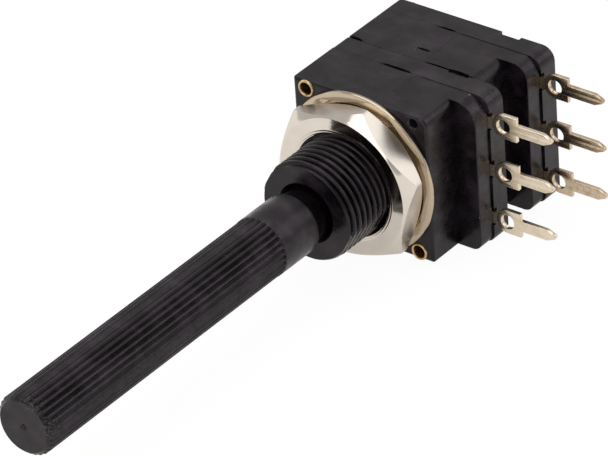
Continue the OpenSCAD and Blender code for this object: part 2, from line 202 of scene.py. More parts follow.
# Applies what the modifiers of a piece make of its mesh
def settle(obj):
    graph = bpy.context.evaluated_depsgraph_get()
    mesh = bpy.data.meshes.new_from_object(obj.evaluated_get(graph))
    obj.modifiers.clear()
    obj.data = mesh


def combine(obj, tool, how):
    boolean = obj.modifiers.new(how, "BOOLEAN")
    boolean.operation = how
    boolean.solver = "EXACT"
    boolean.object = tool
    settle(obj)
    bpy.data.objects.remove(tool)


def carve(obj, *tools):
    for tool in tools:
        combine(obj, tool, "DIFFERENCE")


def fuse(obj, *tools):
    for tool in tools:
        combine(obj, tool, "UNION")


# A slender spindle laid along x, to cut a lens-shaped gap or a dent
def spindle(x0, x1, y, z, width, depth):
    turns = [pi * k / 8 for k in range(16)]
    rings = []
    for k in range(17):
        u = -1 + k / 8
        swell = max(1 - u * u, 0.0004) ** 0.5
        x = (x0 + x1) / 2 + (x1 - x0) / 2 * u
        rings.append([(x, y + width * swell * cos(t), z + depth * swell * sin(t)) for t in turns])
    return skin("spindle", rings)


# Smooth shading with creases kept, then the finish, the body and the nodes that the piece stands for
def mount(obj, material, slotName, *nodes, body="housing", crease=32):
    mesh = obj.data
    mesh.materials.clear()
    mesh.materials.append(material)
    bm = bmesh.new()
    bm.from_mesh(mesh)
    for face in bm.faces:
        face.smooth = True
        face.material_index = 0
    for edge in bm.edges:
        edge.smooth = len(edge.link_faces) == 2 and edge.calc_face_angle(0) < radians(crease)
    bm.to_mesh(mesh)
    bm.free()
    weighted = obj.modifiers.new("weighted", "WEIGHTED_NORMAL")
    weighted.keep_sharp = True
    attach(obj, body)
    if nodes:
        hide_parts(*nodes)
    return obj


# Node helpers for the finishes; sizes of patterns are in millimetres

def newFinish(name, **sockets):
    material = bpy.data.materials.new(name)
    material.use_nodes = True
    shader = material.node_tree.nodes["Principled BSDF"]
    for socket, value in sockets.items():
        shader.inputs[socket.replace("_", " ")].default_value = value
    return material, material.node_tree, shader


def placed(tree, stretch=(1, 1, 1), turn=(0, 0, 0)):
    coords = tree.nodes.new("ShaderNodeTexCoord")
    mapping = tree.nodes.new("ShaderNodeMapping")
    mapping.inputs["Scale"].default_value = [s / mm for s in stretch]
    mapping.inputs["Rotation"].default_value = [radians(t) for t in turn]
    tree.links.new(coords.outputs["Object"], mapping.inputs["Vector"])
    return mapping.outputs["Vector"]


def grain(tree, size, detail=3, stretch=(1, 1, 1), turn=(0, 0, 0)):
    noise = tree.nodes.new("ShaderNodeTexNoise")
    noise.inputs["Scale"].default_value = 1 / size
    noise.inputs["Detail"].default_value = detail
    tree.links.new(placed(tree, stretch, turn), noise.inputs["Vector"])
    return noise.outputs["Fac"]


# Sparse round specks, such as dust; share is the part of the cells that hold one
def specks(tree, spacing, size, share):
    cells = tree.nodes.new("ShaderNodeTexVoronoi")
    cells.inputs["Scale"].default_value = 1 / spacing
    tree.links.new(placed(tree), cells.inputs["Vector"])
    near = between(tree, cells.outputs["Distance"], size / spacing, 0.6 * size / spacing, 0, 1)
    chosen = tree.nodes.new("ShaderNodeSeparateColor")
    tree.links.new(cells.outputs["Color"], chosen.inputs[0])
    return times(tree, near, between(tree, chosen.outputs["Red"], share, share * 0.98, 0, 1))


def between(tree, value, low, high, toLow, toHigh):
    ranged = tree.nodes.new("ShaderNodeMapRange")
    for socket, number in zip(("From Min", "From Max", "To Min", "To Max"), (low, high, toLow, toHigh)):
        ranged.inputs[socket].default_value = number
    tree.links.new(value, ranged.inputs["Value"])
    return ranged.outputs["Result"]


def times(tree, a, b, operation="MULTIPLY"):
    maths = tree.nodes.new("ShaderNodeMath")
    maths.operation = operation
    for i, value in enumerate((a, b)):
        if isinstance(value, (int, float)):
            maths.inputs[i].default_value = value
        else:
            tree.links.new(value, maths.inputs[i])
    return maths.outputs["Value"]


def tinted(tree, factor, first, second):
    mix = tree.nodes.new("ShaderNodeMix")
    mix.data_type = "RGBA"
    for socket, colour in (("A", first), ("B", second)):
        target = next(s for s in mix.inputs if s.name == socket and s.type == "RGBA")
        if isinstance(colour, tuple):
            target.default_value = (*colour, 1)
        else:
            tree.links.new(colour, target)
    tree.links.new(factor, mix.inputs["Factor"])
    return next(s for s in mix.outputs if s.type == "RGBA")


def relief(tree, height, depth, under=None):
    bump = tree.nodes.new("ShaderNodeBump")
    bump.inputs["Distance"].default_value = depth * mm
    tree.links.new(height, bump.inputs["Height"])
    if under:
        tree.links.new(under, bump.inputs["Normal"])
    return bump.outputs["Normal"]


# Rough patches of fine light grain around the given spots, each a centre and a reach; they are partly
# scuffed wear and partly painted highlights
def scuffsAndGlints(tree, spots):
    whole = None
    for centre, reach in spots:
        away = tree.nodes.new("ShaderNodeVectorMath")
        away.operation = "DISTANCE"
        tree.links.new(placed(tree), away.inputs[0])
        away.inputs[1].default_value = centre
        spot = between(tree, away.outputs["Value"], reach, 0.5 * reach, 0, 1)
        whole = spot if whole is None else times(tree, whole, spot, "MAXIMUM")
    return times(tree, whole, between(tree, grain(tree, 0.16, 4), 0.5, 0.68, 0, 1))


# Fine rings left by the lathe, about the axis of the part
def turningMarks(tree, size):
    split = tree.nodes.new("ShaderNodeSeparateXYZ")
    tree.links.new(placed(tree), split.inputs[0])
    x, z = split.outputs["X"], split.outputs["Z"]
    radius = times(tree, times(tree, times(tree, x, x), times(tree, z, z), "ADD"), 0.5, "POWER")
    joined = tree.nodes.new("ShaderNodeCombineXYZ")
    tree.links.new(radius, joined.inputs["X"])
    noise = tree.nodes.new("ShaderNodeTexNoise")
    noise.inputs["Scale"].default_value = 1 / size
    noise.inputs["Detail"].default_value = 3
    tree.links.new(joined.outputs[0], noise.inputs["Vector"])
    return noise.outputs["Fac"]


# Finishes

# Black plastic, with light patches that are partly scuffs and partly painted highlights; past a given depth
# along the part (the shaft's neck in the bush) it carries painted shade that makes it darker, and it is
# glossier
def blackMoulding(name, shade, rough, spots=(), scuffAndGlint=0.045, dust=0.02, greasedFrom=None):
    material, tree, shader = newFinish(name, Specular_IOR_Level=0.33, Specular_Tint=(1.0, 0.93, 0.98, 1))
    depth = 0.004  # of the finest relief
    cloud = grain(tree, 2.6, 5)
    blotch = grain(tree, 0.9, 4)
    fine = grain(tree, 0.22, 3)
    smear = grain(tree, 1.1, 4, (0.4, 1, 1), (0, 0, 25))
    patchy = times(tree, between(tree, cloud, 0.4, 0.62, 0, 1), between(tree, smear, 0.32, 0.66, 0.25, 1))
    body = tinted(tree, patchy, tuple(0.2 * c for c in shade), tuple(2.2 * c for c in shade))
    if spots:
        # lighter patches: partly scuffs, partly painted highlights
        body = tinted(tree, scuffsAndGlints(tree, spots), body, (scuffAndGlint, 0.94 * scuffAndGlint, 0.94 * scuffAndGlint))
    body = tinted(tree, specks(tree, 0.8, 0.075, dust), body, (0.34, 0.33, 0.32))
    worn = times(tree, between(tree, blotch, 0.35, 0.65, rough[0], rough[1]),
                 between(tree, fine, 0.3, 0.7, -0.03, 0.04), "ADD")
    if greasedFrom is not None:
        split = tree.nodes.new("ShaderNodeSeparateXYZ")
        tree.links.new(placed(tree), split.inputs[0])
        greased = between(tree, split.outputs["Y"], greasedFrom - 0.04, greasedFrom, 0, 1)
        # painted shade: from that depth on the colour is nearly black, standing in for the shade inside the
        # bush mouth
        body = tinted(tree, greased, body, (0.002, 0.0015, 0.002))
        worn = times(tree, worn, between(tree, greased, 0, 1, 1, 0.4))
    tree.links.new(body, shader.inputs["Base Color"])
    tree.links.new(worn, shader.inputs["Roughness"])
    flow = relief(tree, grain(tree, 2.4, 2, (1, 0.6, 1)), 8 * depth)
    pebbled = relief(tree, blotch, 3 * depth, flow)
    tree.links.new(relief(tree, fine, depth, pebbled), shader.inputs["Normal"])
    return material


# Nickel plate, rougher by sideRough on the faces that look sideways
def nickelPlate(name, shade, rough, sideRough, ripple=0.005):
    material, tree, shader = newFinish(name, Metallic=1.0)
    cloud = grain(tree, 1.6, 4)
    marks = turningMarks(tree, 0.15)
    stains = specks(tree, 0.7, 0.05, 0.05)
    plated = tinted(tree, between(tree, cloud, 0.3, 0.7, 0, 1), tuple(0.94 * c for c in shade), shade)
    tree.links.new(tinted(tree, stains, plated, tuple(0.6 * c for c in shade)), shader.inputs["Base Color"])
    facing = tree.nodes.new("ShaderNodeNewGeometry")
    split = tree.nodes.new("ShaderNodeSeparateXYZ")
    tree.links.new(facing.outputs["True Normal"], split.inputs[0])
    ahead = times(tree, split.outputs["Y"], 0, "ABSOLUTE")
    polished = between(tree, cloud, 0.3, 0.7, rough[0], rough[1])
    side = between(tree, ahead, 0.5, 0.2, 0, sideRough)
    tree.links.new(times(tree, polished, side, "ADD"), shader.inputs["Roughness"])
    wave = relief(tree, grain(tree, 1.3, 2), ripple * 1.8)
    tree.links.new(relief(tree, marks, ripple, wave), shader.inputs["Normal"])
    return material


def rolledMetal(name, shade, tarnish, rough, ripple=0.003):
    material, tree, shader = newFinish(name, Metallic=1.0)
    stains = grain(tree, 0.7, 5)
    rolled = grain(tree, 0.35, 4, (0.25, 1, 1))
    tree.links.new(tinted(tree, between(tree, stains, 0.45, 0.68, 0, 1), shade, tarnish),
                   shader.inputs["Base Color"])
    tree.links.new(between(tree, rolled, 0.3, 0.7, rough[0], rough[1]), shader.inputs["Roughness"])
    tree.links.new(relief(tree, rolled, ripple), shader.inputs["Normal"])
    return material


def naturalAcetal(name):
    material, tree, shader = newFinish(name, Subsurface_Weight=0.15, Subsurface_Scale=0.0004)
    cloud = grain(tree, 1.8, 3)
    tree.links.new(tinted(tree, cloud, (0.62, 0.60, 0.54), (0.74, 0.72, 0.66)), shader.inputs["Base Color"])
    tree.links.new(between(tree, cloud, 0.3, 0.7, 0.35, 0.5), shader.inputs["Roughness"])
    tree.links.new(relief(tree, grain(tree, 0.2, 2), 0.003), shader.inputs["Normal"])
    return material


# Brown paper laminate, black where the carbon stands above the face at that depth
def trackLaminate(name, facePlane):
    material, tree, shader = newFinish(name)
    fibres = grain(tree, 0.3, 5, (1, 1, 0.2))
    board = tinted(tree, between(tree, fibres, 0.3, 0.7, 0, 1), (0.30, 0.16, 0.06), (0.46, 0.27, 0.12))
    split = tree.nodes.new("ShaderNodeSeparateXYZ")
    tree.links.new(placed(tree), split.inputs[0])
    carbon = between(tree, split.outputs["Y"], facePlane - 0.03, facePlane - 0.05, 0, 1)
    tree.links.new(tinted(tree, carbon, board, (0.02, 0.02, 0.022)), shader.inputs["Base Color"])
    tree.links.new(between(tree, fibres, 0.3, 0.7, 0.45, 0.65), shader.inputs["Roughness"])
    tree.links.new(relief(tree, fibres, 0.006), shader.inputs["Normal"])
    return material


housingPlastic = blackMoulding("housingPlastic", (0.008, 0.0056, 0.0078), (0.2, 0.36), (
    ((9.4, 5.1, 6.2), 1.3), ((-0.6, 10.2, 7.5), 1.4), ((5.9, 0.1, 6.9), 0.9)))
platePlastic = blackMoulding("platePlastic", (0.010, 0.0072, 0.0096), (0.22, 0.38), (
    ((8.8, 7.0, 6.9), 1.6),))
# the light patches on the shaft's tip chamfer are painted highlights for its lit ring, with some wear
shaftPlastic = blackMoulding("shaftPlastic", (0.011, 0.0078, 0.0108), (0.24, 0.38), (
    ((-2.0, -47.6, 2.2), 1.3), ((1.0, -47.7, 2.8), 1.5), ((2.8, -47.6, 0.6), 1.3)),
    scuffAndGlint=0.065, dust=0.05, greasedFrom=-10.5)
brightNickel = nickelPlate("brightNickel", (0.74, 0.68, 0.61), (0.07, 0.14), 0.2)
# the washer's darker, browner nickel is partly its own tone and partly painted shade and painted reflection
# of the nut
shadedWasherNickel = nickelPlate("shadedWasherNickel", (0.54, 0.45, 0.34), (0.07, 0.13), 0.0)
paleBrass = rolledMetal("paleBrass", (0.82, 0.72, 0.57), (0.74, 0.61, 0.45), (0.2, 0.3), 0.0008)
# a darker, browner copy of the terminal brass: painted shade for the rear gang's terminals, which face the
# dark gap behind the front gang
rearShadedBrass = rolledMetal("rearShadedBrass", (0.70, 0.57, 0.42), (0.52, 0.39, 0.26), (0.2, 0.32), 0.0008)
yellowBrass = rolledMetal("yellowBrass", (0.66, 0.50, 0.26), (0.45, 0.31, 0.13), (0.22, 0.36))
springBronze = rolledMetal("springBronze", (0.80, 0.56, 0.32), (0.66, 0.42, 0.22), (0.2, 0.35))
rotorPlastic = naturalAcetal("rotorPlastic")
print("finishes ready")


# Housings: the block, the flange that carries the terminals, and the rotor pocket

housing = {
    "cornerRounds": {"front": (0.4, 0.15, 1.0, 0.15), "rear": (0.3, 0.3, 1.5, 0.25)},
    "edgeRound": 0.08, "seamRound": 0.03, "faceRounds": {"front": 0.32, "rear": 0.12},
    "flangeThickness": 1.8, "flangeCorner": {"front": 2.2, "rear": 1.7},
    "footRound": 1.0, "footDrop": {"front": 0.3, "rear": 0.45}, "lobeRoot": 3, "rootRound": 0.1,
    "stepX": {"front": 1.7, "rear": 0.9}, "rampWidth": {"front": 1.1, "rear": 0.3}, "stepDrop": 0.07,
    "pocketRadius": 6.4, "pocketDepth": 4.4, "bossRadius": 4.0, "bossRise": 0.69, "bossSeat": 0.3,
    "rivetHole": 0.64, "spareHole": 0.46, "spareDepth": 1.0, "spareMouth": 0.12,
    "rimRadius": 6.75, "rimLength": 0.45, "rimFrom": 64, "rimSeat": 0.3,
    "postHalf": 16, "postRadius": 5.85, "postGap": 2.2, "postSeat": 0.1,
}


# What reaches past the block towards the terminals: a flange or the end of a base plate
def lobeCorners(name, reach, top, cornerRound):
    root, rootRound = housing["lobeRoot"], housing["rootRound"]
    low = -halfHeight - housing["footDrop"][name]
    return [(root, low, rootRound), (reach, low, housing["footRound"]), (reach, top, cornerRound),
            (root, top, rootRound)]


def holeCutter(x, z, r, y0, y1, mouth=0.08):
    return turned("hole", [(r + mouth, y0 - past), (r + mouth, y0), (r, y0 + mouth), (r, y1)], 40, (x, z))


def makeHousing(gang):
    h = housing
    name, face, seam = gang["name"], gang["face"], gang["seam"]
    w, t = halfWidth, halfHeight
    corners = [(x, z, r) for (x, z, _), r in zip(rectangle(-w, w, -t, t), h["cornerRounds"][name])]
    shell = slab(name + "Housing", corners, face, seam, h["faceRounds"][name], h["seamRound"])
    flange = lobeCorners(name, gang["flangeReach"], t - hair, h["flangeCorner"][name])
    fuse(shell, slab("flange", flange, seam - h["flangeThickness"], seam - hair,
                     h["edgeRound"], h["seamRound"]))
    x, low, side = h["stepX"][name], t - h["stepDrop"], gang["reach"] + past
    ramp = [(x, t), (x + h["rampWidth"][name], low), (side, low), (side, t + past), (x, t + past)]
    carve(shell, stamped("step", ramp, [], face - past, seam + past, hair))
    floor = seam - h["pocketDepth"]
    carve(shell, turned("pocket", [(h["pocketRadius"], floor), (h["pocketRadius"], seam + past)], 120))
    for s in (-1, 1):
        x, z = s * rivetSpot[0], s * rivetSpot[1]
        carve(shell, holeCutter(-x, z, h["rivetHole"], face, seam + past),
              holeCutter(x, z, h["spareHole"], face, face + h["spareDepth"], h["spareMouth"]))
    half = h["postHalf"]
    post = arc(0, 0, h["pocketRadius"] + 2 * h["postSeat"], -half, half, 12)
    post += arc(0, 0, h["postRadius"], half, -half, 12)
    fuse(shell, stamped("post", post, [], floor - h["postSeat"], seam - h["postGap"], 2 * hair))
    start, end = h["rimFrom"], 360 - h["rimFrom"]
    rim = arc(0, 0, h["rimRadius"], start, end, 60) + arc(0, 0, h["pocketRadius"] + hair, end, start, 60)
    fuse(shell, stamped("rim", rim, [], seam - h["rimSeat"], seam + h["rimLength"], h["seamRound"]))
    return shell


# Gaps and dents in the top faces: both ends in x, the place along y, the half width and the depth
topGaps = {
    "front_housing": [(-2.2, 1.7, 6.0, 0.14, 0.3)],
    "front_base_plate": [(-1.9, 1.5, 6.03, 0.2, 0.35)],
    "rear_housing": [(-8.2, -5.7, 8.3, 0.28, 0.45), (1.2, 4.4, 8.28, 0.2, 0.4), (3.6, 6.3, 8.3, 0.3, 0.5),
                     (5.8, 7.2, 8.25, 0.16, 0.35), (-0.8, 0.7, 9.95, 0.17, 0.3),
                     (-1.7, 0.9, 14.05, 0.16, 0.3)],
    "rear_base_plate": [(-1.2, 0.5, 14.07, 0.1, 0.25)],
}
gapSink = 0.06  # past the step, the gaps lie this much lower


def cutTopGaps(shell, node):
    for x0, x1, y, width, depth in topGaps[node]:
        sink = gapSink if x0 > 1 else 0
        carve(shell, spindle(x0, x1, y, halfHeight - sink, width, depth))


# Threaded bush: one ring wall, its outside a helical thread with the two flats of the mould's parting line

bush = {
    "crest": 4.92, "root": 4.47, "pitch": 0.76, "phase": 0.61,
    "crestShare": 1.18, "flankSlope": 1.5, "flankCurve": 1.15, "threadFrom": -1.9,
    "lead": 0.5, "tipRadius": 4.7, "mouth": 2.98, "bore": 2.65, "edge": 0.07, "brim": 0.03, "seat": 0.05,
    "partingAngle": -29, "partingDepth": 0.2, "partingGroove": 0.045, "partingHalf": 0.16,
    "partingFade": 0.9, "blockHole": 3.6, "steps": 160, "rowsPerPitch": 18,
}


def threadRadius(angle, y, tip):
    b = bush
    share = ((y / b["pitch"] + angle / (2 * pi) + b["phase"]) % 1.0) * 2 - 1
    height = min(max(b["crestShare"] - b["flankSlope"] * abs(share) ** b["flankCurve"], 0.0), 1.0)
    height = height * height * (3 - 2 * height)
    r = b["root"] + (b["crest"] - b["root"]) * height
    for side in (0, pi):
        off = (angle - radians(b["partingAngle"]) - side + pi) % (2 * pi) - pi
        flat = (b["crest"] - b["partingDepth"]) / max(cos(off), 0.1)
        if flat < b["crest"]:
            fade = b["partingFade"] * max(abs(off) - b["partingHalf"], 0)
            r = max(min(r, flat), flat - b["partingGroove"] - fade)
    lead = b["tipRadius"] + (b["crest"] - b["tipRadius"]) * (y - tip) / b["lead"]
    return min(r, lead)


def makeBush(pocketFloor):
    b = bush
    tip = boxOf("front_housing")[0].y
    turns = [2 * pi * k / b["steps"] for k in range(b["steps"])]
    first = tip + b["edge"]
    length = b["threadFrom"] - first
    count = int(length / b["pitch"] * b["rowsPerPitch"])
    rings = [circleRing(b["tipRadius"] - b["edge"], tip, b["steps"])]
    for y in [first + length * k / count for k in range(count + 1)]:
        rings.append(shapedRing([threadRadius(t, y, tip) for t in turns], turns, y))
    wall, inside = b["crest"] - 2 * hair, pocketFloor - b["seat"]
    throat = tip + b["mouth"] - b["bore"]
    rings += [circleRing(r, y, b["steps"]) for r, y in (
        (wall, b["threadFrom"] + 2 * b["seat"]), (wall, inside), (b["bore"], inside),
        (b["bore"], throat + b["seat"]), (b["bore"] + b["seat"], throat),
        (b["mouth"], tip + b["brim"]), (b["mouth"] + b["brim"], tip))]
    return skin("bush", rings, loop=True)


for gang in gangs:
    shell = makeHousing(gang)
    pocketFloor = gang["seam"] - housing["pocketDepth"]
    if gang["name"] == "front":
        r = bush["blockHole"]
        carve(shell, turned("bushHole", [(r, -past), (r, pocketFloor + past)]))
        fuse(shell, makeBush(pocketFloor))
    else:
        r, low, rise = housing["bossRadius"], pocketFloor - housing["bossSeat"], housing["bossRise"]
        fuse(shell, turned("boss", [(r, low), (r, pocketFloor + rise)]))
        carve(shell, turned("passage", [(bush["bore"], gang["face"] - past), (bush["bore"], gang["seam"])]))
    cutTopGaps(shell, gang["name"] + "_housing")
    mount(shell, housingPlastic, "housing_plastic", gang["name"] + "_housing")
    print(gang["name"], "housing:", len(shell.data.polygons), "faces")


# Base plates: each closes a gang, holds its track board and lets the terminals out

plate = {
    "edgeRound": 0.08, "seamRound": 0.06, "cornerRound": 1.3, "lobeDrop": 0.004,
    "recess": 1.5, "swell": {"front": 0, "rear": 0.08},
    "notchX": 5.2, "notchWidth": 2.2, "notchDrop": 0.5, "notchRun": {"front": 0.32, "rear": 0.5},
    "notchRound": 0.1, "notchEdge": 0.05,
    "slotDepth": 0.47, "legSlotHalf": 0.64, "mouthHalf": 0.86, "mouthLength": 0.6,
    "seamGap": 0.09, "seamGapDepth": 0.35, "gapBelow": 1.6, "gapAbove": 1.2, "gapRound": 0.3,
    "boardRadius": 6.79, "boardSide": 7.24, "boardHalf": 6.34, "boardAngle": 70.5,
}


def makePlate(gang):
    p = plate
    name, seam, back = gang["name"], gang["seam"], gang["back"] + p["swell"][gang["name"]]
    w, t = halfWidth, halfHeight
    rounds = housing["cornerRounds"]["rear"]
    corners = [(x, z, r) for (x, z, _), r in zip(rectangle(-w, w, -t, t), rounds)]
    lobe = lobeCorners(name, gang["reach"], t - p["lobeDrop"], p["cornerRound"])
    shell = slab(name + "BasePlate", corners, seam + hair, back, p["seamRound"], p["edgeRound"])
    fuse(shell, slab("lobe", lobe, seam + hair, back, p["seamRound"], p["edgeRound"]))
    side, half, turn = p["boardSide"], p["boardHalf"], p["boardAngle"]
    board = arc(0, 0, p["boardRadius"], turn, 360 - turn, 72) + [(side, -half), (side, half)]
    carve(shell, stamped("recess", board, [], seam - past, seam + p["recess"], hair))
    end = gang["reach"] + past
    for k in (-1, 0, 1):
        z, leg, mouth = k * terminalPitch, p["legSlotHalf"], p["mouthHalf"]
        slot = rectangle(side - past, end, z - leg, z + leg)
        opening = rectangle(gang["flangeReach"] - p["mouthLength"], end, z - mouth, z + mouth)
        carve(shell, slab("slot", slot, seam - past, seam + p["slotDepth"]),
              slab("mouth", opening, seam - past, seam + p["slotDepth"] + 2 * hair))
    start, low, high = gang["reach"] - p["seamGapDepth"], p["gapBelow"] - t, t - p["gapAbove"]
    gap = rectangle(start, end, low, high, p["gapRound"])
    carve(shell, slab("seamGap", gap, seam - past, seam + p["seamGap"]))
    x, half = p["notchX"], p["notchWidth"] / 2
    notch = rectangle(x - half, x + half, t - p["notchDrop"], t + past, p["notchRound"])
    carve(shell, slab("notch", notch, back - p["notchRun"][name], back + past, p["notchEdge"]))
    r = housing["rivetHole"]
    for s in (-1, 1):
        spot = (-s * rivetSpot[0], s * rivetSpot[1])
        carve(shell, turned("rivetHole", [(r, seam - past), (r, back + past)], 40, spot))
    if name == "front":
        carve(shell, turned("passage", [(bush["bore"], seam), (bush["bore"], back + past)]))
    return shell


for gang in gangs:
    shell = makePlate(gang)
    cutTopGaps(shell, gang["name"] + "_base_plate")
    mount(shell, platePlastic, "plate_plastic", gang["name"] + "_base_plate")
    print(gang["name"], "base plate:", len(shell.data.polygons), "faces")


# Terminals: a solder eye, round towards the body and square towards the pin

terminal = {
    "sheet": 0.45, "eyeX": 11.4, "eyeWidth": 2.45, "eyeHole": 0.8, "eyeLength": 1.4, "edge": 0.06,
    "pinWidth": 1.1, "point": 0.9, "tipRound": 0.25, "tipTurn": 50,
    "legWidth": 1.2, "legShort": 0.12, "legLap": 0.3, "legRound": 0.02,
    "ringInner": 3.35, "ringOuter": 4.15, "boardDepth": 1.45,
    "crimpX": {"upper": 5.0, "middle": 5.8, "lower": 5.0},
    "crimpRadius": 0.42, "crimpEdge": 0.05, "crimpSeat": 0.1,
}


def makeTerminal(gang, level, k):
    t = terminal
    node = gang["name"] + "_terminal_" + level
    tip = boxOf(node)[1].x
    y0, y1 = gang["seam"], gang["seam"] + t["sheet"]
    x, z, crimpX = t["eyeX"], k * terminalPitch, t["crimpX"][level]
    eye, pin, leg = t["eyeWidth"] / 2, t["pinWidth"] / 2, t["legWidth"] / 2
    shoulder, taper = x + t["eyeLength"], tip - t["point"]
    outline = arc(x, z, eye, 90, 270, 30)
    outline += [(shoulder, z - eye), (shoulder, z - pin), (taper, z - pin)]
    outline += arc(tip - t["tipRound"], z, t["tipRound"], -t["tipTurn"], t["tipTurn"], 6)
    outline += [(taper, z + pin), (shoulder, z + pin), (shoulder, z + eye)]
    eyeHole = arc(x, z, t["eyeHole"], 350, 0, 35)
    piece = stamped(node.title().replace("_", ""), outline, [eyeHole], y0, y1, t["edge"])
    inner = t["ringOuter"] - t["legLap"] if level == "middle" else crimpX
    legOutline = rectangle(inner, x - t["eyeHole"] - t["legShort"], z - leg, z + leg, t["legRound"])
    fuse(piece, slab("leg", legOutline, y0 + 0.5 * hair, y1 - 0.5 * hair))
    if level == "middle":
        low, high = y0 + hair, y1 - hair
        fuse(piece, turned("ring", [(t["ringInner"], low), (t["ringOuter"], low),
                                    (t["ringOuter"], high), (t["ringInner"], high)], loop=True))
    else:
        fuse(piece, turned("pad", [(leg, y0 + 1.2 * hair), (leg, y1 - 1.2 * hair)], 40, (crimpX, z)))
    r, edge, end = t["crimpRadius"], t["crimpEdge"], y0 + t["boardDepth"]
    crimp = [(r, y1 - t["crimpSeat"]), (r, end - edge), (r - edge, end)]
    fuse(piece, turned("crimp", crimp, 32, (crimpX, z)))
    # the rear terminals take the brass copy with painted shade
    mount(piece, paleBrass if gang["name"] == "front" else rearShadedBrass, "terminal_metal", node, crease=40)


for gang in gangs:
    for level, k in (("upper", 1), ("middle", 0), ("lower", -1)):
        makeTerminal(gang, level, k)
print("terminals ready")


# Rivets: a thin tube with both ends rolled over

rivet = {
    "hole": 0.46, "tube": 0.6, "funnel": 0.9,
    "front": {"rim": 0.86, "inner": 0.6, "lift": 0.17},
    "rear": {"rim": 0.77, "inner": 0.5, "lift": 0.12},
}


def rolledRim(end, level, outwards):
    middle, roll = (end["rim"] + end["inner"]) / 2, (end["rim"] - end["inner"]) / 2
    turns = [pi * k / 12 for k in range(13)]
    return [(middle + roll * cos(a), level + outwards * end["lift"] * sin(a)) for a in turns]


def makeRivet(node, x, z):
    v = rivet
    back = gangs[1]["back"] + plate["swell"]["rear"]
    profile = [(v["tube"], hair)] + rolledRim(v["front"], 0.0, -1) + [(v["hole"], v["funnel"])]
    profile += [(v["hole"], back - v["funnel"])] + rolledRim(v["rear"], back, 1)[::-1]
    profile += [(v["tube"], back - hair)]
    piece = turned(node.title().replace("_", ""), profile, 48, (x, z), loop=True)
    mount(piece, yellowBrass, "rivet_brass", node)


makeRivet("upper_rivet", -rivetSpot[0], rivetSpot[1])
makeRivet("lower_rivet", rivetSpot[0], -rivetSpot[1])


# Washer and nut

washer = {"bore": 4.95, "edge": 0.14, "dish": 0.05, "dishRun": 0.9, "dishInner": 6.8}


def makeWasher():
    low, high = boxOf("washer")
    bore, e, dish = washer["bore"], washer["edge"], washer["dish"]
    r, y0, y1 = high.x, low.y, high.y
    profile = [(bore, y1), (r - e, y1), (r - 0.3 * e, y1 - 0.3 * e), (r, y1 - e)]
    profile += [(r, y0 + dish + e), (r - 0.3 * e, y0 + dish + 0.3 * e), (r - e, y0 + dish)]
    profile += [(r - washer["dishRun"], y0 + 0.25 * dish), (washer["dishInner"], y0)]
    profile += [(bore + e, y0), (bore, y0 + e)]
    mount(turned("Washer", profile, 160, loop=True), shadedWasherNickel, "plated_steel", "washer")


# Its foot and its sunken face are (radius, depth) pairs, the depths inwards from the back and the front
nut = {
    "flats": 14.0, "turn": 14.5, "cornerRound": 0.25, "faceRadius": 6.85, "backRadius": 6.98, "slope": 38,
    "bore": 4.95, "stepsPerFlat": 48, "rimBreak": 0.04, "faceStep": 0.015, "backStep": 0.25,
    "foot": [(6.93, 0.2), (6.6, 0.19), (6.5, 0.0)],
    "sink": [(5.62, 0.1), (5.57, 0.09), (5.52, 0.11), (5.4, 0.12), (5.35, 0.112), (5.3, 0.13), (5.22, 0.14),
             (5.1, 0.26), (5.02, 0.4), (4.95, 0.5)],
}


def hexRadius(angle):
    n = nut
    half = n["flats"] / 2
    off = (angle - radians(n["turn"]) + pi / 6) % (pi / 3) - pi / 6
    sharp = half / cos(pi / 6 - abs(off))
    centre = (half - n["cornerRound"]) / cos(pi / 6)
    if abs(off) > pi / 6 - atan2(centre / 2, half):
        return sharp
    return centre * cos(off) + (n["cornerRound"] ** 2 - (centre * sin(off)) ** 2) ** 0.5


def makeNut():
    n = nut
    low, high = boxOf("hex_nut")
    front, back = low.y, high.y
    count = 6 * n["stepsPerFlat"]
    turns = [radians(n["turn"]) + 2 * pi * k / count for k in range(count)]
    rise = tan(radians(n["slope"]))

    def level(r, y):
        return shapedRing([r] * count, turns, y)

    # A ring part of the way from a round edge out to the hexagon, sloping along y
    def coneRing(r, y, share, slope):
        reaches = [(hexRadius(t) - r) * share for t in turns]
        return [((r + d) * cos(t), y + d * slope, (r + d) * sin(t)) for d, t in zip(reaches, turns)]

    rings = [level(r, front + y) for r, y in reversed(n["sink"])]
    face, rim = n["faceRadius"], n["rimBreak"]
    rings += [level(face - rim, front), level(face, front + 0.4 * rim)]
    rings += [coneRing(face, front + n["faceStep"], k / 3, rise) for k in range(1, 4)]
    rings += [coneRing(n["backRadius"], back - n["backStep"], 1 - k / 3, -rise) for k in range(3)]
    rings += [level(r, back - y) for r, y in n["foot"]] + [level(n["bore"], back)]
    mount(skin("HexNut", rings, loop=True), brightNickel, "plated_steel", "hex_nut", crease=22)


makeWasher()
makeNut()
print("hardware ready")


# Shaft: splines, a plain stretch, the neck in the bush, the thrust collar and the flatted drive end

shaft = {
    "radius": 3.0, "splines": 30, "turn": 8, "crestDrop": 0.03, "grooveDepth": 0.29, "crestShare": 0.13,
    "splineEnd": -15.3, "runOut": 0.12, "neckStart": -10.5, "neck": 2.6, "shoulderRound": 0.15,
    "tipChamfer": 0.45, "brim": 0.03,
    "dimple": 0.35, "dimpleRim": 0.06, "dimpleDepth": 0.25, "dimpleFlat": 0.04,
    "collar": 4.0, "collarThickness": 0.69, "collarEdge": 0.05,
    "drive": 2.4, "driveFlat": 1.8, "endChamfer": 0.15, "stepsPerSpline": 16, "spans": 24,
}


def splineRadius(angle, groove):
    s = shaft
    share = ((angle / (2 * pi) - s["turn"] / 360) * s["splines"]) % 1.0
    off = 2 * min(share, 1 - share)
    fall = max(off - s["crestShare"], 0) / (1 - s["crestShare"])
    return s["radius"] - groove * (s["crestDrop"] + s["grooveDepth"] * fall)


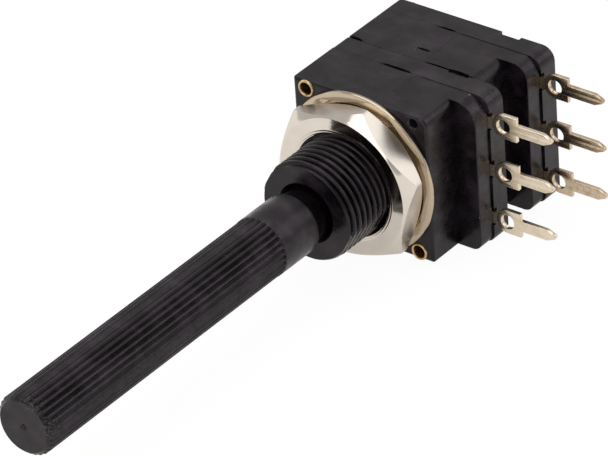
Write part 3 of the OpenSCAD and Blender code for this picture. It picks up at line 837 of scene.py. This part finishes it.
def makeShaft():
    s = shaft
    low, high = boxOf("shaft")
    tip, end = low.y, high.y
    count = s["splines"] * s["stepsPerSpline"]
    turns = [2 * pi * k / count for k in range(count)]

    # A splined ring, its grooves at a share of their depth and no point past the limit
    def splined(y, groove, limit):
        return shapedRing([min(splineRadius(t, groove), limit) for t in turns], turns, y)

    def flatted(y, inset):
        r, flat = s["drive"] - inset, s["driveFlat"] - inset
        return shapedRing([min(r, flat / max(abs(sin(t)), 0.01)) for t in turns], turns, y)

    rings = [circleRing(r, y, count) for r, y in (
        (s["dimpleFlat"], tip + s["dimpleDepth"]), (0.8 * s["dimple"], tip + s["dimpleRim"]),
        (s["dimple"], tip), (s["radius"] - s["tipChamfer"] - s["brim"], tip))]
    for k in range(6):
        run = s["tipChamfer"] * k / 5
        rings.append(splined(tip + s["brim"] + run, 1, s["radius"] - s["tipChamfer"] + run))
    first = tip + s["brim"] + s["tipChamfer"]
    last = s["splineEnd"] - s["runOut"]
    step = (last - first) / s["spans"]
    rings += [splined(first + step * k, 1, s["radius"]) for k in range(1, s["spans"] + 1)]
    rings += [splined(last + s["runOut"] * k / 4, 1 - (k / 4) ** 2, s["radius"]) for k in range(1, 5)]
    rings.append(circleRing(s["radius"], s["splineEnd"] + 0.1 * (s["neckStart"] - s["splineEnd"]), count))
    r = s["shoulderRound"]
    rings += [circleRing(s["radius"] - r * (1 - cos(a)), s["neckStart"] - r * (1 - sin(a)), count)
              for a in [pi / 2 * k / 4 for k in range(5)]]
    driveStart = boxOf("front_rotor")[0].y
    collarFront = driveStart - s["collarThickness"]
    rings += [circleRing(r, y, count) for r, y in (
        (s["neck"], s["neckStart"]), (s["neck"], collarFront), (s["collar"] - s["collarEdge"], collarFront),
        (s["collar"], collarFront + s["collarEdge"]), (s["collar"], driveStart))]
    rings += [flatted(driveStart, 0), flatted(end - s["endChamfer"], 0), flatted(end, s["endChamfer"])]
    return mount(skin("Shaft", rings), shaftPlastic, "shaft_plastic", "shaft", body="spindle")


shaftPiece = makeShaft()
print("shaft:", len(shaftPiece.data.polygons), "faces")


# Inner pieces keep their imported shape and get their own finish
inner = {}
for gang in gangs:
    laminate = trackLaminate(gang["name"] + "TrackLaminate", gang["seam"] + terminal["sheet"])
    inner.update({gang["name"] + "_rotor": rotorPlastic, gang["name"] + "_wiper": springBronze,
                  gang["name"] + "_track_board": laminate})
for node, material in inner.items():
    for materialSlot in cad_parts[node].material_slots:
        materialSlot.material = material
print("inner pieces finished")


# Camera, in the place that the object's own lines give, in degrees and millimetres

cameraView = {
    "azimuth": 39.294, "elevation": 32.327, "roll": -4.058, "distance": 491.186,
    "side": -5.308, "lift": -5.223, "lens": 323.867, "sensor": 36, "clip": (10, 20000),
}


def makeCamera():
    c = cameraView
    a, e, roll = radians(c["azimuth"]), radians(c["elevation"]), radians(c["roll"])
    towards = Vector((sin(a) * cos(e), -cos(a) * cos(e), sin(e)))
    level = Vector((cos(a), sin(a), 0))
    over = towards.cross(level)
    right = level * cos(roll) + over * sin(roll)
    up = over * cos(roll) - level * sin(roll)
    place = (towards * c["distance"] + right * c["side"] + up * c["lift"]) * mm
    data = bpy.data.cameras.new("camera")
    data.lens = c["lens"]
    data.sensor_width = c["sensor"]
    data.clip_start, data.clip_end = (d * mm for d in c["clip"])
    camera = bpy.data.objects.new("camera", data)
    turn = Matrix((right, up, towards)).transposed().to_4x4()
    camera.matrix_world = Matrix.Translation(place) @ turn
    bpy.context.scene.collection.objects.link(camera)
    bpy.context.scene.camera = camera


makeCamera()


# Studio: a white table and room, with broad soft lamps; lengths here are in metres, angles in degrees

studio = {
    "floorSize": 3.0, "floorWhite": 0.86, "floorCover": 0.93, "floorGlow": 1.02,
    "glossCover": 0.5, "glossTint": (1.0, 0.965, 0.93),
    "ambient": 0.75, "surround": 0.58, "roomTint": (1, 0.985, 0.98),
    "roomTowards": (0.62, -0.5, 0.6), "roomHalf": 42, "roomCore": 15, "roomLevel": 0.15,
    "lamps": (
        {"name": "overheadBox", "place": (-0.13, 0.13, 0.85), "size": 1.0, "level": 1.15},
        {"name": "leftBox", "place": (-0.80, 0.0, 0.36), "size": 0.6, "level": 1.0},
        {"name": "frontBox", "place": (0.02, -0.76, 0.38), "size": 0.75, "level": 1.15},
        {"name": "rightBox", "place": (0.55, 0.62, 0.50), "size": 0.6, "level": 0.9},
    ),
}


# Which rays come straight from the camera, and which by way of a shiny or a clear surface
def seenDirectly(tree):
    paths = tree.nodes.new("ShaderNodeLightPath")
    mirrored = times(tree, paths.outputs["Is Glossy Ray"], paths.outputs["Is Transmission Ray"], "MAXIMUM")
    return paths.outputs["Is Camera Ray"], mirrored


def makeFloor():
    s = studio
    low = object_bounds()[0].z / mm
    half = s["floorSize"] / mm / 2
    corners = [(-half, -half, low), (half, -half, low), (half, half, low), (-half, half, low)]
    floor = makeObject("floor", corners, [(0, 1, 2, 3)])
    white = (*(s["floorWhite"],) * 3, 1)
    material, tree, shader = newFinish("tableWhite", Base_Color=white, Roughness=0.9,
                                       Specular_IOR_Level=0.0)
    camera, mirrored = seenDirectly(tree)
    glow = tree.nodes.new("ShaderNodeEmission")
    tree.links.new(tinted(tree, camera, s["glossTint"], (s["floorGlow"],) * 3), glow.inputs["Color"])
    mix = tree.nodes.new("ShaderNodeMixShader")
    seen, glossed = times(tree, camera, s["floorCover"]), times(tree, mirrored, s["glossCover"])
    tree.links.new(times(tree, seen, glossed, "ADD"), mix.inputs["Fac"])
    tree.links.new(shader.outputs[0], mix.inputs[1])
    tree.links.new(glow.outputs[0], mix.inputs[2])
    tree.links.new(mix.outputs[0], tree.nodes["Material Output"].inputs["Surface"])
    floor.data.materials.append(material)


# White for the camera, dimmer in gloss on one side, and a plain level for all other light
def makeWorld():
    s = studio
    world = bpy.data.worlds.new("studio")
    bpy.context.scene.world = world
    world.use_nodes = True
    tree = world.node_tree
    background = tree.nodes["Background"]
    coords = tree.nodes.new("ShaderNodeTexCoord")
    dot = tree.nodes.new("ShaderNodeVectorMath")
    dot.operation = "DOT_PRODUCT"
    tree.links.new(coords.outputs["Generated"], dot.inputs[0])
    dot.inputs[1].default_value = Vector(s["roomTowards"]).normalized()
    gloss = between(tree, dot.outputs["Value"], cos(radians(s["roomHalf"])), cos(radians(s["roomCore"])),
                    s["surround"], s["roomLevel"])
    camera, mirrored = seenDirectly(tree)
    plain = times(tree, times(tree, 1.0, mirrored, "SUBTRACT"), s["ambient"])
    unseen = times(tree, times(tree, mirrored, gloss), plain, "ADD")
    tree.links.new(times(tree, unseen, camera, "MAXIMUM"), background.inputs["Strength"])
    background.inputs["Color"].default_value = (*s["roomTint"], 1)


# Round soft boxes; level is how bright each looks, where white is 1
def makeLamps():
    for lamp in studio["lamps"]:
        data = bpy.data.lights.new(lamp["name"], "AREA")
        data.shape = "DISK"
        data.size = lamp["size"]
        data.energy = lamp["level"] * pi * pi * (lamp["size"] / 2) ** 2
        light = bpy.data.objects.new(lamp["name"], data)
        light.location = lamp["place"]
        light.rotation_euler = Vector(lamp["place"]).to_track_quat("Z", "Y").to_euler()
        bpy.context.scene.collection.objects.link(light)


makeFloor()
makeWorld()
makeLamps()
bpy.context.scene.view_settings.view_transform = "Standard"
print("studio ready")
